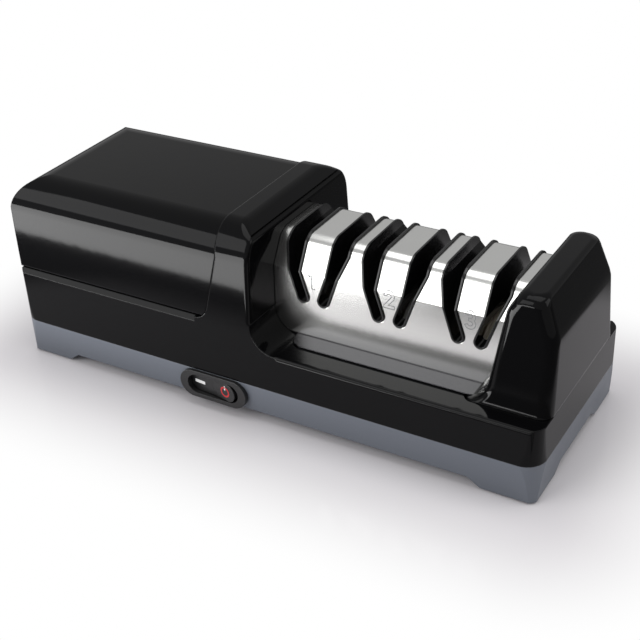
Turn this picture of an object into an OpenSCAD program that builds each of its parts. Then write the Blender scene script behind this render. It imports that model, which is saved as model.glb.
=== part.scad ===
// Electric knife sharpener with three grinding stages, in millimetres.
// X runs along the body, from the motor end to the end wall, Y from front to back, Z up.
// The origin is the middle of the footprint, on the surface that the feet stand on.

/* [Body] */
// Length of the body at the seam between base and shell
body_l = 292; // [286:1:320]
// Depth of the body at the seam
body_d = 103.7; // [100:0.1:112]
// Radius of the upright corners
corner_r = 10; // [6:0.5:12]
// Height of the seam between base and shell
seam_z = 21; // [20:0.5:24]
// Wall of the black shells
shell_wall = 3; // [2.6:0.1:3.2]
// Lean of the front and back walls, in degrees
front_draft = 4; // [3:0.25:5]
// Lean of the end walls, in degrees
end_draft = 1.3; // [1:0.1:2]

/* [Motor bay] */
// Height of the top of the motor cover
cover_z = 98.6; // [98:0.1:99.4]
// Radius of the shoulders of cover and collar
shoulder_r = 17; // [14:0.5:18]
// Height of the V groove under the motor cover
groove_z = 50.2; // [46:0.1:54]
// Depth of the V groove
groove_w = 2.2; // [1.4:0.1:2.3]
// Seam between cover and collar, at the groove
seam_low_x = -26.5; // [-30:0.5:-24]
// Seam between cover and collar, at the top
seam_top_x = -19.5; // [-21:0.5:-18]
// Gap along that seam
seam_gap = 0.3; // [0.2:0.05:0.5]

/* [Collar and recess] */
// How far the collar stands above the motor cover
collar_rise = 1.4; // [1.2:0.1:3.4]
// Ridge of the collar on its top
ridge_x = -9; // [-12:0.5:-7]
// Drop of the sloped band below the collar's top
band_drop = 5; // [3:0.5:7]
// Wall of the recess on the collar's side
recess_x = -0.5; // [-1:0.1:0]
// Radius of the fillet between that wall and the ledge
recess_r = 13; // [11:0.5:15]
// Height of the ledge in front of the guide cover
ledge_z = 40; // [39:0.25:41]
// Thickness of the ledge
ledge_t = 2.6; // [2:0.1:3]

/* [End wall] */
// From the end of the body to the foot of the end wall's inner face
end_low_in = 32.6; // [31:0.2:33]
// From the end of the body to that face at shoulder height
end_mid_in = 25.5; // [24:0.5:27]
// Height of that shoulder
end_mid_z = 85; // [83:0.5:87]
// From the end of the body to the inner edge of the end wall's top
end_top_in = 20; // [18:0.5:21]
// Width of the end wall's flat top
end_top_w = 12; // [9:0.5:12]
// Height of the end wall
end_z = 94.5; // [93:0.5:96]
// Depth of the end wall at its foot
end_d = 82; // [78:0.5:86]
// Radius of the end wall's shoulders
end_shoulder_r = 9; // [7:0.5:11]

/* [Base] */
// How far the base narrows on each side, down to the feet
base_taper = 1.9; // [1:0.1:3]
// Height of the feet
foot_h = 5.4; // [4.5:0.1:6]
// Length of a foot along the body
foot_l = 26; // [22:1:30]
// Depth of a foot
foot_d = 24; // [20:1:28]
// Wall and floor of the base
base_wall = 2.4; // [2.2:0.1:2.6]
// Thickness of the rubber pads below the feet
pad_t = 1; // [0.8:0.1:1.4]

/* [Guide cover] */
// Height of the guide cover's top
guide_z = 89.4; // [89:0.1:90.4]
// Half width of its flat top
guide_flat = 11.5; // [10.5:0.25:12.5]
// Radius of its shoulders
guide_r = 9; // [8:0.5:10]
// Slope of the band below the shoulder, in degrees
guide_slope = 59; // [56:1:62]
// Height of the bend below the band
guide_bend_z = 74.4; // [73.5:0.1:76]
// Lean of the faces below the bend, in degrees
guide_draft = 3.2; // [2.6:0.2:4]
// Thickness of the steel sheet
sheet_t = 0.9; // [0.7:0.1:1.1]
// How far the lip reaches in front of the faces
lip_w = 10.5; // [9:0.5:11]
// Radius of the lip's corners
lip_r = 8; // [5:0.5:9]

/* [Guide slots] */
// Distance of the first pair of slots from the collar, in a recess of the usual length
stage_first = 21.7; // [21:0.1:22.5]
// Distance from one pair to the next, in a recess of the usual length
stage_step = 40; // [38:0.5:40.5]
// Half distance between the two slots of a pair, at their round ends
slot_u = 5.5; // [5.3:0.1:5.8]
// Half width of the slot in the sheet
slot_r = 3.3; // [3.1:0.1:3.5]
// Height of the lowest point of the slot
slot_low_z = 58.1; // [57:0.1:59.5]
// Lean of the slots, in degrees
slot_lean = 19; // [17:0.5:20]
// Height at which the slot's outer edge turns upright
slot_flare_z = 84.5; // [83:0.5:86]
// Wall of the slot liners
liner_t = 1; // [0.8:0.1:1.2]
// How far the liners' rims stand out of the sheet
rim_h = 0.9; // [0.6:0.1:1.2]

/* [Grinding train] */
// Height of the spindle
spindle_z = 42; // [41.5:0.1:42.5]
// Radius of the spindle
spindle_r = 4; // [3.5:0.1:4.5]
// Radius of the grinding discs
disc_r = 21.5; // [20:0.1:21.8]
// Rim thickness of a disc
disc_rim = 1.4; // [1.2:0.1:1.6]
// Angle of the disc's grinding face, in degrees from upright
disc_angle = 22; // [18:1:24]
// Half gap between the two discs of a pair
disc_gap = 1.1; // [1:0.05:1.3]
// How far a disc slides on the spindle
disc_travel = 0.8; // [0.6:0.05:0.9]
// Wire of the springs between the discs
spring_wire = 0.8; // [0.7:0.05:0.9]

/* [Motor] */
// From the end of the body to the middle of the motor
motor_in = 61; // [58:1:64]
// Thickness of the lamination stack
stack_t = 25; // [20:1:28]
// Width of the stack
stack_w = 60; // [56:1:64]
// Radius of the rotor
rotor_r = 16; // [14:0.5:17]
// Radius of the motor shaft
shaft_r = 3; // [2.5:0.1:3.5]
// Radius of the cooling fan
fan_r = 25; // [20:0.5:26]

/* [Power switch] */
// Middle of the switch along the body
switch_x = -23; // [-26:0.5:-20]
// Width of the bezel
bezel_w = 38.6; // [36:0.2:40]
// Height of the bezel
bezel_h = 15.2; // [14.6:0.1:15.3]
// How far the bezel stands proud of the base
bezel_t = 1.8; // [1.4:0.1:2.4]
// Width of the rocker
rocker_w = 28; // [26:0.2:28.6]
// Height of the rocker
rocker_h = 10; // [9:0.1:10.4]
// Lean of the rocker from the middle, in degrees
rocker_lean = 8; // [6:0.5:9]

/* [Hidden] */

$fn = 96;
eps = 0.01;
far = 400;                                   // longer than anything on the part
gloss_black = "#1a1a1a";
blue_grey = "#73777f";

half_l = body_l/2;
half_d = body_d/2;
collar_z = cover_z + collar_rise;
band_z = collar_z - band_drop;
end_low_x = half_l - end_low_in;
end_mid_x = half_l - end_mid_in;
end_top_x = half_l - end_top_in;
motor_x = motor_in - half_l;
recess_usual = 113.9;                        // length of the recess that the stage distances are given for
recess_stretch = (end_low_x - recess_x)/recess_usual;
stage_x = recess_x + stage_first*recess_stretch;
stage_pitch = stage_step*recess_stretch;
seat_gap = 0.1;                              // gap between pieces that sit in one another
run_gap = 0.05;                              // radial clearance of shafts in their bores

function end_x(z) = half_l - (z - seam_z)*tan(end_draft);
function wall_y(z) = half_d - (z - seam_z)*tan(front_draft);

// Lays an outline drawn in Y and Z along the body, from x0 to x1.
module along_x(x0, x1) translate([x0, 0, 0]) rotate([90, 0, 90]) linear_extrude(x1 - x0) children();
// Lays an outline drawn in X and Z across the body, half to the front and half to the back.
module along_y(half) rotate([90, 0, 0]) linear_extrude(2*half, center = true) children();
// Raises a plan outline from z0 to z1.
module along_z(z0, z1) translate([0, 0, z0]) linear_extrude(z1 - z0) children();

module rounded_rect(hx, hy, r) {
    square([2*(hx - r), 2*hy], center = true);
    square([2*hx, 2*(hy - r)], center = true);
    for (sx = [-1, 1], sy = [-1, 1]) translate([sx*(hx - r), sy*(hy - r)]) circle(r);
}

module stadium(w, h) {
    square([w - h, h], center = true);
    for (s = [-1, 1]) translate([s*(w - h)/2, 0]) circle(h/2);
}

module ring(r_out, r_in, t) difference() {
    cylinder(r = r_out, h = t);
    translate([0, 0, -1]) cylinder(r = r_in, h = t + 2);
}

// A cylinder along X, from x0 to x1, at the height of the spindle unless z is given.
module rod_x(x0, x1, r, y = 0, z = spindle_z)
    translate([x0, y, z]) rotate([0, 90, 0]) cylinder(r = r, h = x1 - x0);

module block(x0, x1, y0, y1, z0, z1) translate([x0, y0, z0]) cube([x1 - x0, y1 - y0, z1 - z0]);

// ---------------------------------------------------------------- black shells

module body_plan(inset) rounded_rect(half_l - inset, half_d - inset, corner_r - inset);

// Front-to-back outline: leaning walls, round shoulders and a flat top.
module arch(inset, z_low, z_top, r, chamfer = 0) {
    zt = z_top - inset;
    rr = r - inset;
    zc = zt - rr;
    hw_low = wall_y(z_low + chamfer) - inset/cos(front_draft);
    yc = wall_y(zc) - (inset + rr)/cos(front_draft);
    ty = yc + rr*cos(front_draft);
    tz = zc + rr*sin(front_draft);
    foot = chamfer > 0 ? [[chamfer - hw_low, z_low], [hw_low - chamfer, z_low]] : [];
    polygon(concat([[-hw_low, z_low + chamfer]], foot,
        [[hw_low, z_low + chamfer], [ty, tz], [yc, zt], [-yc, zt], [-ty, tz]]));
    for (s = [-1, 1]) translate([s*yc, zc]) circle(rr);
}

// Front view of the motor bay: left wall, shoulder and top, closed by the points on the right and below.
seam_turn_x = seam_top_x + 1;
seam_turn_z = cover_z - shoulder_r + 3;
// The cover's lower corner beside the collar, rounded in flats.
seam_corner_r = 8;
seam_lean = atan((seam_turn_x - seam_low_x)/(seam_turn_z - groove_z));
seam_corner_x = seam_low_x - seam_corner_r*tan(45 - seam_lean/2);
seam_corner = [for (k = [0:5]) let (a = -90 + k*(90 - seam_lean)/5)
    [seam_corner_x + seam_corner_r*cos(a), groove_z + seam_corner_r*(1 + sin(a))]];
module motor_side(inset, right_points, low_points) {
    zt = cover_z - inset;
    rr = shoulder_r - inset;
    zc = zt - rr;
    xc = end_x(zc) - (inset + rr)/cos(end_draft);
    flats = 6;
    // Inside, the shoulder is a run of flats; outside it is round.
    arc = [for (k = [0:flats]) let (a = 90 + k*(90 - end_draft)/flats) [rr*cos(a) - xc, rr*sin(a) + zc]];
    polygon(concat(inset > 0 ? arc : [arc[0], arc[flats]], low_points, right_points));
    if (inset == 0) translate([-xc, zc]) circle(rr);
}

module motor_cover() color(gloss_black) {
    x_low = end_x(groove_z + groove_w);
    x_open = seam_top_x + 5;
    difference() {
        intersection() {
            along_z(groove_z, cover_z + 1) body_plan(0);
            along_y(far/2) motor_side(0,
                concat(seam_corner, [[seam_turn_x, seam_turn_z], [seam_top_x, cover_z]]),
                [[-x_low, groove_z + groove_w], [groove_w - x_low, groove_z]]);
            along_x(-far/2, far/2) arch(0, groove_z, cover_z, shoulder_r, groove_w);
        }
        intersection() {
            along_z(groove_z - 1, cover_z) body_plan(shell_wall);
            along_y(far/2) motor_side(shell_wall, [[x_open, groove_z - 1], [x_open, cover_z - shell_wall]],
                [[shell_wall/cos(end_draft) - end_x(groove_z - 1), groove_z - 1]]);
            along_x(-far/2, far/2) arch(shell_wall, groove_z - 1, cover_z, shoulder_r);
        }
    }
}

// Front view of the collar, with the sloped band and the fillet down to the ledge.
fillet_x = recess_x + recess_r;
fillet_z = ledge_z + recess_r;
module collar_side(z_low, inset) difference() {
    polygon(concat([[seam_corner_x + seam_gap, z_low]], [for (p = seam_corner) p + [seam_gap, 0]],
        [[seam_turn_x + seam_gap, seam_turn_z], [seam_top_x + seam_gap, cover_z],
         [seam_top_x + seam_gap, collar_z - inset], [ridge_x - inset*tan(15), collar_z - inset],
         [recess_x - inset, band_z - inset*tan(30)], [recess_x - inset, fillet_z],
         [fillet_x, fillet_z], [fillet_x, z_low]]));
    translate([fillet_x, fillet_z]) circle(recess_r + inset);
}

// Front view of the end wall.
function end_inner(z) = end_low_x + (z - ledge_z)*(end_mid_x - end_low_x)/(end_mid_z - ledge_z);
end_shoulder_z = end_z - 6.5;
module end_side(inset, z_low) {
    t = inset;
    polygon([[end_inner(z_low) + t, z_low], [end_mid_x + t, end_mid_z], [end_top_x + t*0.6, end_z - t],
             [end_top_x + end_top_w - t*0.4, end_z - t], [end_x(end_shoulder_z) - t, end_shoulder_z],
             [end_x(z_low) - t, z_low]]);
}

// Front-to-back outline of the end wall, which leans more than the body.
end_lean = 7;
module end_arch(inset, z_low) {
    zt = end_z - inset;
    rr = end_shoulder_r - inset;
    zc = zt - rr;
    function half(z) = end_d/2 - (z - ledge_z)*tan(end_lean) - inset/cos(end_lean);
    yc = half(zc) - rr/cos(end_lean);
    ty = yc + rr*cos(end_lean);
    tz = zc + rr*sin(end_lean);
    polygon([[-half(z_low), z_low], [half(z_low), z_low], [ty, tz], [yc, zt], [-yc, zt], [-ty, tz]]);
    for (s = [-1, 1]) translate([s*yc, zc]) circle(rr);
}

end_corner_r = 14;
module end_block(inset, z_low) intersection() {
    along_y(far/2) end_side(inset, z_low);
    along_x(0, far/2) end_arch(inset, z_low);
    along_z(z_low, end_z) rounded_rect(half_l - inset, end_d/2 - inset, end_corner_r - inset);
}

shell_pass_r = spindle_r + 4;                // hole in the walls beside the discs
bay_x0 = recess_x + 8;                       // opening in the ledge under the guide cover
bay_x1 = end_low_x - 2;
bay_y = 24;
module body_shell() color(gloss_black) {
    shell_outside_less_inside();
    for (p = screw_places) translate([p[0], p[1], seam_z]) ring(screw_r + 2.6, screw_r, boss_h);
}
module shell_outside_less_inside() difference() {
    union() {
        intersection() {                     // motor bay and lower panels
            along_z(seam_z, groove_z) body_plan(0);
            along_y(far/2) polygon([[-end_x(seam_z), seam_z], [-end_x(groove_z - groove_w), groove_z - groove_w],
                [-end_x(groove_z - groove_w) + groove_w, groove_z], [seam_low_x + seam_gap, groove_z],
                [seam_low_x + seam_gap + eps, ledge_z], [end_x(ledge_z), ledge_z], [end_x(seam_z), seam_z]]);
            along_x(-far/2, far/2) {
                y_rim = wall_y(groove_z - groove_w);
                polygon([[-wall_y(seam_z), seam_z], [wall_y(seam_z), seam_z], [y_rim, groove_z - groove_w],
                    [y_rim - groove_w, groove_z], [groove_w - y_rim, groove_z], [-y_rim, groove_z - groove_w]]);
            }
        }
        intersection() {
            along_y(far/2) collar_side(seam_z, 0);
            along_x(-far/2, far/2) arch(0, seam_z, collar_z, shoulder_r);
        }
        end_block(0, ledge_z - 1);
    }
    intersection() {                         // inside of the motor bay
        along_z(seam_z - 1, groove_z + 1) body_plan(shell_wall);
        along_x(-far/2, seam_low_x + shell_wall) arch(shell_wall, seam_z - 1, collar_z, shoulder_r);
    }
    intersection() {                         // inside of the lower panels
        along_z(seam_z - 1, ledge_z - ledge_t) body_plan(shell_wall);
        along_x(-far/2, far/2) arch(shell_wall, seam_z - 1, collar_z, shoulder_r);
    }
    intersection() {                         // inside of the collar
        along_y(far/2) difference() {
            collar_side(seam_z - 1, shell_wall);
            translate([-far, 0]) square([far + seam_low_x + shell_wall - eps, groove_z - eps]);
        }
        along_x(-far/2, far/2) arch(shell_wall, seam_z - 1, collar_z, shoulder_r);
    }
    end_block(shell_wall, ledge_z - ledge_t - 1);
    block(bay_x0, bay_x1, -bay_y, bay_y, ledge_z - ledge_t - 1, fillet_z);
    rod_x(seam_low_x, end_mid_x + shell_wall, shell_pass_r);
}
screw_r = 1.7;
boss_h = 14;
screw_inset = 7.2;                           // distance of the corner screws from the body's sides
screw_places = [for (sx = [-1, 1], sy = [-1, 1]) [sx*(half_l - screw_inset), sy*(half_d - screw_inset)]];

// ---------------------------------------------------------------- guide cover

arc_z = guide_z - guide_r;                   // centre of the shoulder arcs
band_y = guide_flat + guide_r*sin(guide_slope);
band_top_z = arc_z + guide_r*cos(guide_slope);
bend_y = band_y + (band_top_z - guide_bend_z)/tan(guide_slope);
lip_z = ledge_z;

// Half width of the guide at the bend, grown outwards by o.
function bend_z(o) = let (det = sin(guide_slope)*sin(guide_draft) - cos(guide_slope)*cos(guide_draft),
    a = o + bend_y*sin(guide_slope) + guide_bend_z*cos(guide_slope),
    b = o + bend_y*cos(guide_draft) + guide_bend_z*sin(guide_draft))
    (b*sin(guide_slope) - a*cos(guide_draft))/det;
function bend_yy(o) = (o + bend_y*cos(guide_draft) + (guide_bend_z - bend_z(o))*sin(guide_draft))
    /cos(guide_draft);
function face_y(z, o) = bend_yy(o) + (bend_z(o) - z)*tan(guide_draft);

module guide_arch(o, z_low) {
    r = guide_r + o;
    ty = guide_flat + r*sin(guide_slope);
    tz = arc_z + r*cos(guide_slope);
    polygon([[-face_y(z_low, o), z_low], [face_y(z_low, o), z_low], [bend_yy(o), bend_z(o)], [ty, tz],
             [guide_flat, guide_z + o], [-guide_flat, guide_z + o], [-ty, tz], [-bend_yy(o), bend_z(o)]]);
    for (s = [-1, 1]) translate([s*guide_flat, arc_z]) circle(r);
}

// Front view of one slot of a pair: a round end, a leaning part and a flared mouth.
slot_round_z = slot_low_z + slot_r;
module slot_outline(inset, top) {
    r = slot_r - inset;
    function mid_u(z) = slot_u + (z - slot_round_z)*tan(slot_lean);
    u_in = mid_u(guide_bend_z) - slot_r/cos(slot_lean) + inset;
    u_out = mid_u(slot_flare_z) + slot_r/cos(slot_lean) - inset;
    side = [r*cos(slot_lean), r*sin(slot_lean)];
    z_in = slot_round_z + (u_in + r/cos(slot_lean) - slot_u)/tan(slot_lean);
    z_out = slot_round_z + (u_out - r/cos(slot_lean) - slot_u)/tan(slot_lean);
    translate([slot_u, slot_round_z]) circle(r);
    polygon([[slot_u - side[0], slot_round_z + side[1]], [slot_u + side[0], slot_round_z - side[1]],
             [u_out, z_out], [u_out, top], [u_in, top], [u_in, z_in]]);
}
mouth_in = slot_u + (guide_bend_z - slot_round_z)*tan(slot_lean) - slot_r/cos(slot_lean);

// Places children at the middle of a stage, as drawn (left slot) or mirrored.
module on_stage(i, side) translate([stage_x + i*stage_pitch, 0]) mirror([side < 0 ? 1 : 0, 0]) children();

// Front view of the guide cover, between collar and end wall.
module guide_side() {
    x0 = recess_x + seat_gap;
    x_mid = end_mid_x - seat_gap;
    polygon([[fillet_x, lip_z], [end_inner(lip_z) - seat_gap, lip_z], [x_mid, end_mid_z],
             [x_mid + 6, end_mid_z + 10], [x_mid + 6, far], [x0, far], [x0, fillet_z]]);
    translate([fillet_x, fillet_z]) circle(recess_r - seat_gap);
}

module guide_cover() color("#c9c9c7") {
    intersection() {
        along_x(-far/2, far/2) difference() {
            guide_arch(0, lip_z);
            guide_arch(-sheet_t, lip_z - 1);
        }
        along_y(far/2) difference() {
            guide_side();
            for (i = [0:2], s = [-1, 1]) on_stage(i, s) slot_outline(0, far);
        }
    }
    lip_x0 = fillet_x - 0.5;
    lip_x1 = end_inner(lip_z) - seat_gap;
    lip_y0 = face_y(lip_z + sheet_t, -sheet_t);
    lip_y1 = lip_y0 + sheet_t + lip_w;
    for (s = [-1, 1]) along_z(lip_z, lip_z + sheet_t) {
        translate([(lip_x0 + lip_x1)/2, s*(lip_y0 + lip_y1)/2])
            intersection() {
                square([lip_x1 - lip_x0, lip_y1 - lip_y0], center = true);
                translate([0, -s*lip_r]) rounded_rect((lip_x1 - lip_x0)/2,
                    (lip_y1 - lip_y0)/2 + lip_r, lip_r);
            }
    }
}

// ---------------------------------------------------------------- slot liners and magnets

insert_low_z = disc_r + spindle_z + 2.5;     // the discs pass below this height
below_slots = slot_low_z - 8;
web_t = 2.5;
web_z = guide_bend_z - web_t;
insert_mid_y = 20;                           // half width of the space for the discs
module guide_insert(i) color("#141414") difference() {
    intersection() {
        union() {
            along_y(far/2) for (s = [-1, 1]) on_stage(i, s) difference() {
                slot_outline(seat_gap, guide_z + rim_h + 1);
                slot_outline(liner_t, far);
            }
            intersection() {
                along_y(far/2) translate([stage_x + i*stage_pitch, 0]) {
                    reach = mouth_in + (seat_gap + liner_t)/2;
                    polygon([[-reach, web_z + web_t], [reach, web_z + web_t],
                             [reach - web_t*tan(slot_lean), web_z], [-reach + web_t*tan(slot_lean), web_z]]);
                }
                along_x(0, far/2) guide_arch(-sheet_t - seat_gap, below_slots);
            }
        }
        along_x(0, far/2) guide_arch(rim_h, below_slots);
    }
    block(0, far, -insert_mid_y, insert_mid_y, below_slots, insert_low_z);
    for (s = [-1, 1]) along_y(far/2) on_stage(i, s) slot_outline(liner_t, far);
}

magnet_t = 3;
magnet_h = 8;
magnet_l = 18;
module guide_magnet(i, side) color("#8b8f94") translate([stage_x + i*stage_pitch, 0, web_z + web_t])
    mirror([side < 0 ? 1 : 0, 0, 0]) translate([mouth_in - magnet_t - seat_gap, -magnet_l/2, 0])
        cube([magnet_t, magnet_l, magnet_h]);

// ---------------------------------------------------------------- grinding train

flat_cut = 0.8;                              // depth of the flat along the spindle
hub_r = 8;
spring_r = spindle_r + 1.6;
disc_inner = disc_gap + disc_travel;         // inner face of a disc at rest, from the stage's middle
disc_face_r = 14;                            // where the slanted grinding face starts
disc_t = disc_rim + (disc_r - disc_face_r)*tan(disc_angle);
coupling_x0 = motor_x + 29;
coupling_l = 24;
coupling_mid = coupling_x0 + coupling_l/2;
left_bearing_x = -16;
bearing_l = 8;
right_bearing_x = end_low_x + 7.5;
spindle_x1 = right_bearing_x + bearing_l + 1.5;

module d_rod(x0, x1, grow) difference() {
    rod_x(x0, x1, spindle_r + grow);
    block(x0 - 1, x1 + 1, spindle_r - flat_cut + grow, spindle_r + 2, spindle_z - 6, spindle_z + 6);
}

module spindle() color("#b9bcc0") {
    rod_x(coupling_mid + 0.5, stage_x - 12, spindle_r);
    d_rod(stage_x - 12, stage_x + 2*stage_pitch + 12, 0);
    rod_x(stage_x + 2*stage_pitch + 12, spindle_x1, spindle_r);
}

// One grinding disc, its slanted face turned away from the middle of its stage.
module disc(i, side, tint) color(tint) translate([stage_x + i*stage_pitch, 0, 0])
    mirror([side < 0 ? 1 : 0, 0, 0]) difference() {
        translate([disc_inner, 0, spindle_z]) rotate([0, 90, 0]) rotate_extrude()
            polygon([[0, 0], [disc_r, 0], [disc_r, disc_rim], [disc_face_r, disc_t],
                     [hub_r, disc_t], [hub_r, disc_t + 2], [0, disc_t + 2]]);
        rod_x(disc_inner - 1, disc_inner + 2.2, spring_r + spring_wire/2 + 0.5);
        d_rod(disc_inner - 2, disc_inner + disc_t + 4, run_gap);
    }

// Stop rings in front of the discs' hubs, seated on the spindle.
clip_t = 1;
module spindle_clips() color("#5c5f63") for (i = [0:2], s = [-1, 1]) {
    x = stage_x + i*stage_pitch + s*(disc_inner + disc_t + 2 + 0.1 + clip_t/2);
    difference() {
        rod_x(x - clip_t/2, x + clip_t/2, spindle_r + 2.4);
        d_rod(x - clip_t, x + clip_t, 0);
    }
}

// The spring between two discs: one tube that follows a helix.
spring_turns = 4;
spring_len = 2*(disc_inner + 2.2) - spring_wire - 0.1;
spring_rings = 8;
spring_sides = 6;
spring_n = spring_turns*spring_rings;
spring_line = [for (k = [0:spring_n]) let (a = 360*k/spring_rings)
    [spring_len*(k/spring_n - 0.5), spring_r*cos(a), spring_r*sin(a)]];
spring_clear = min([for (j = [0:spring_n], k = [0:spring_n]) if (k - j > spring_rings/2)
    norm(spring_line[j] - spring_line[k])]) - spring_wire;
echo(least_gap_between_spring_turns = spring_clear);
module disc_spring(i) color("#9fa3a8") {
    pts = [for (k = [0:spring_n], j = [0:spring_sides - 1])
        let (a = 360*k/spring_rings, b = 360*j/spring_sides, w = spring_wire/2)
        spring_line[k] + [w*sin(b), w*cos(b)*cos(a), w*cos(b)*sin(a)]];
    sides = [for (k = [0:spring_n - 1], j = [0:spring_sides - 1])
        let (a = k*spring_sides + j, b = k*spring_sides + (j + 1)%spring_sides)
        each [[a, b, a + spring_sides], [b, b + spring_sides, a + spring_sides]]];
    last = spring_n*spring_sides;
    caps = [for (j = [1:spring_sides - 2])
        each [[0, j + 1, j], [last, last + j, last + j + 1]]];
    translate([stage_x + i*stage_pitch, 0, spindle_z]) polyhedron(pts, concat(sides, caps));
}

// ---------------------------------------------------------------- spindle carrier

floor_z = foot_h + base_wall;
carrier_w = 34;
carrier_t = 4;
carrier_x0 = left_bearing_x - 2;
carrier_x1 = right_bearing_x + bearing_l + 2;
bush_r = 7;
module bearing_bush(x) color("#a97b45") difference() {
    rod_x(x, x + bearing_l, bush_r);
    rod_x(x - 1, x + bearing_l + 1, spindle_r + run_gap);
}
module spindle_carrier() color("#2b2d30") difference() {
    union() {
        block(carrier_x0, carrier_x1, -carrier_w/2, carrier_w/2, floor_z, floor_z + carrier_t);
        for (x = [left_bearing_x, right_bearing_x]) {
            block(x, x + bearing_l, -bush_r - 3, bush_r + 3, floor_z + carrier_t - eps, spindle_z);
            rod_x(x, x + bearing_l, bush_r + 3);
        }
    }
    for (x = [left_bearing_x, right_bearing_x]) rod_x(x - 1, x + bearing_l + 1, bush_r);
}

// ---------------------------------------------------------------- motor

long_screw_y = stack_w/2 - 5;
stack_x0 = motor_x - stack_t/2;
stack_x1 = motor_x + stack_t/2;
bobbin_wall = 1.2;
coil_z0 = spindle_z + rotor_r + 6.8;         // the coil fills the room between rotor and cover
coil_z1 = cover_z - shell_wall - 1.4;
core_share = 0.442;                          // the stack's share of the coil's height
core_h = core_share*(coil_z1 - coil_z0);
coil_t = (coil_z1 - coil_z0 - core_h)/2 - bobbin_wall;
window_z0 = spindle_z + rotor_r + 4;
window_z1 = coil_z0 + coil_t + bobbin_wall;
window_w = 34;
stack_z0 = spindle_z - rotor_r - 4.5;
stack_z1 = window_z1 + core_h;
air_gap = 0.4;
module stator_stack() color("#7d8086") difference() {
    block(stack_x0, stack_x1, -stack_w/2, stack_w/2, stack_z0, stack_z1);
    rod_x(stack_x0 - 1, stack_x1 + 1, rotor_r + air_gap);
    block(stack_x0 - 1, stack_x1 + 1, -window_w/2, window_w/2, window_z0, window_z1);
    for (s = [-1, 1]) rod_x(stack_x0 - 1, stack_x1 + 1, long_screw_r + 0.2, s*long_screw_y);
}
long_screw_r = 1.9;

bobbin_w = window_w - 1;
module coil_box(grow, half_w) block(stack_x0 - bobbin_wall - grow, stack_x1 + bobbin_wall + grow,
    -half_w, half_w, window_z1 - bobbin_wall - grow, stack_z1 + bobbin_wall + grow);
module coil_core(gap) block(stack_x0 - gap, stack_x1 + gap, -stack_w, stack_w, window_z1 - gap, stack_z1 + gap);
module coil_bobbin() color("#e8e2d0") difference() {
    union() {
        coil_box(0, bobbin_w/2);
        for (s = [-1, 1]) intersection() {
            coil_box(coil_t + 1, bobbin_w/2);
            block(-far, far, s*bobbin_w/2 - (s > 0 ? bobbin_wall : 0), s*bobbin_w/2 + (s < 0 ? bobbin_wall : 0), 0, far);
        }
    }
    coil_core(0);
}
module motor_coil() color("#b5632e") difference() {
    coil_box(coil_t, bobbin_w/2 - bobbin_wall);
    coil_box(0, bobbin_w);
}

module rotor_core() color("#8a8d92") difference() {
    union() {
        rod_x(stack_x0, stack_x1, rotor_r);
        rod_x(stack_x0 - 3, stack_x1 + 3, rotor_r - 2);
    }
    rod_x(stack_x0 - 4, stack_x1 + 4, shaft_r);
}

bracket_gap = 6;                             // room for the rotor's end ring
bracket_t = 4;
motor_bush_r = 5.5;
motor_bush_l = 9;
bush_seat = 5;                               // how far the bush's seat stands out of the bridge
fan_room = 11;                               // from that seat to the fan's disc
fan_x0 = stack_x0 - bracket_gap - bracket_t - bush_seat - fan_room;
fan_l = 8;
module motor_shaft() color("#c4c7ca") rod_x(fan_x0 - 2, coupling_mid - 0.5, shaft_r);

post_y = long_screw_y;
post_x = [stack_x0 - 7, stack_x1 + 7];
mount_r = 4.5;
mount_t = 4;
foot_t = 3;
bracket_z0 = stack_z0 - 1.5;
// A bearing bracket: arms on the stack, spacers round the long screws, a bridge with the bush, two feet.
module bracket(side) {
    reach = bracket_gap + bracket_t;
    arm_y = stack_w/2 - 9;
    color("#a3a6aa") translate([side*stack_t/2 + motor_x, 0, 0]) mirror([side < 0 ? 1 : 0, 0, 0]) difference() {
        union() {
            for (s = [-1, 1]) translate([0, s*(arm_y + 4) - 4, 0]) {
                translate([0, 0, bracket_z0]) cube([bracket_t, 8, spindle_z + 6 - bracket_z0]);
                translate([0, 0, bracket_z0]) cube([bracket_t + 8, 8, foot_t]);
                rod_x(0, reach, 3.8, 4);
            }
            block(bracket_gap, reach, -arm_y - 6, arm_y + 6, spindle_z - 6, spindle_z + 6);
            rod_x(bracket_gap, reach + bush_seat, motor_bush_r + 3);
        }
        rod_x(-1, 30, motor_bush_r);
        for (s = [-1, 1]) {
            rod_x(-1, 30, long_screw_r + 0.2, s*long_screw_y);
            translate([7, s*post_y, 0]) cylinder(r = mount_screw_r + 0.2, h = 30);
        }
    }
}
mount_screw_r = 1.5;

module motor_bush(side) color("#a97b45") {
    x = side < 0 ? stack_x0 - bracket_gap - motor_bush_l : stack_x1 + bracket_gap;
    difference() {
        rod_x(x, x + motor_bush_l, motor_bush_r);
        rod_x(x - 1, x + motor_bush_l + 1, shaft_r + run_gap);
    }
}

// Two long screws hold the brackets to the stack.
module motor_screws() color("#b9bcc0") {
    reach = bracket_gap + bracket_t;
    for (s = [-1, 1]) {
        rod_x(stack_x0 - reach, stack_x1 + reach + 2, long_screw_r, s*long_screw_y);
        rod_x(stack_x0 - reach - 2.5, stack_x0 - reach, 3.5, s*long_screw_y);
    }
}
module motor_mounts() color("#1c1c1e") for (x = post_x, s = [-1, 1])
    translate([x, s*post_y, bracket_z0 - mount_t]) ring(mount_r, mount_screw_r + 0.1, mount_t);
module mount_screws() color("#b9bcc0") for (x = post_x, s = [-1, 1]) translate([x, s*post_y, 0]) {
    translate([0, 0, floor_z + 1]) cylinder(r = mount_screw_r, h = bracket_z0 + foot_t - floor_z - 1);
    translate([0, 0, bracket_z0 + foot_t]) cylinder(r = 2.8, h = 1.8);
}

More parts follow.
